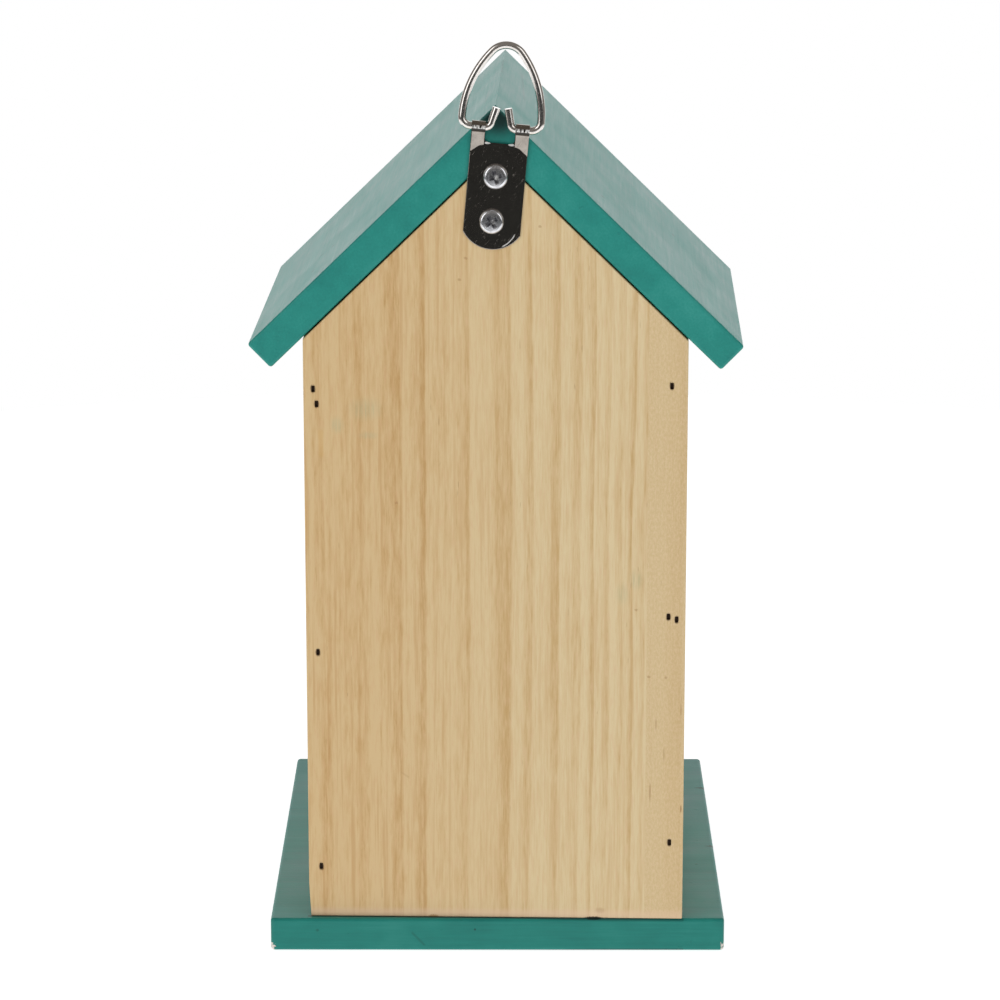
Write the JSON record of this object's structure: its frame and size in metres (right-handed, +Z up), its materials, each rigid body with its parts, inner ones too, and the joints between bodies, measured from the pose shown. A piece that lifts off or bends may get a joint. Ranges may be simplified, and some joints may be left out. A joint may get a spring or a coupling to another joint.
{
  "type": "hanging bird feeder",
  "caption": "Wooden hopper bird feeder with a lift-off gabled roof, clear seed window, front feeding tray and a wire hanging ring on a steel strap at the back.",
  "frame": {"origin": "on the base board's underside, in the middle plane of the house and 85 mm in front of its back face; the base's own centre is 1.3 mm to +X and 1.5 mm to +Y, because the house stands 1.3 degrees askew on it", "axes": "+Z up, -Y towards the feeding tray, +Y out of the back board that carries the hanger"},
  "size_m": [0.154, 0.1745, 0.2939],
  "materials": {
    "teal_painted_wood": "satin brushed paint",
    "natural_pine": "bare sanded pine",
    "birch_plywood": "bare plywood",
    "clear_acrylic": "clear, polished",
    "nickel_plate": "bright nickel plate",
    "zinc_plate": "bright zinc plate",
    "brad_steel": "dull wire",
    "painted_brad": "painted over"
  },
  "bodies": {
    "feeder_body": {"base_board": "teal_painted_wood", "back_board": "natural_pine", "left_side_board": "natural_pine", "right_side_board": "natural_pine", "front_gable_board": "natural_pine", "seed_ramp": "birch_plywood", "left_tray_rail": "natural_pine", "right_tray_rail": "natural_pine", "front_tray_rail": "natural_pine", "hanger_strap": "nickel_plate", "upper_hanger_screw": "zinc_plate", "lower_hanger_screw": "zinc_plate", "back_board_brads": "brad_steel", "front_gable_brads": "brad_steel", "base_brads": "brad_steel", "tray_base_brads": "brad_steel", "tray_corner_brads": "brad_steel", "left_ramp_brads": "brad_steel", "right_ramp_brads": "brad_steel"},
    "roof": {"left_roof_board": "teal_painted_wood", "right_roof_board": "teal_painted_wood", "rear_roof_cleat": "natural_pine", "front_roof_cleat": "natural_pine", "ridge_brads": "painted_brad"},
    "window": {"window_pane": "clear_acrylic"},
    "ring": {"hanging_ring": "nickel_plate"}
  },
  "joints": [
    {"name": "ring_swing", "type": "hinge", "parent": "feeder_body", "child": "ring", "pos_m": [-0.0017, 0.08761, 0.26715], "axis": [0.9962, 0, 0.0872], "range_deg": [-177, 15]},
    {"name": "roof_lift", "type": "slide", "parent": "feeder_body", "child": "roof", "axis": [0, 0, 1], "range_m": [0, 0.11]},
    {"name": "window_slide", "type": "slide", "parent": "feeder_body", "child": "window", "axis": [0, 0, 1], "range_m": [0, 0.02]}
  ]
}
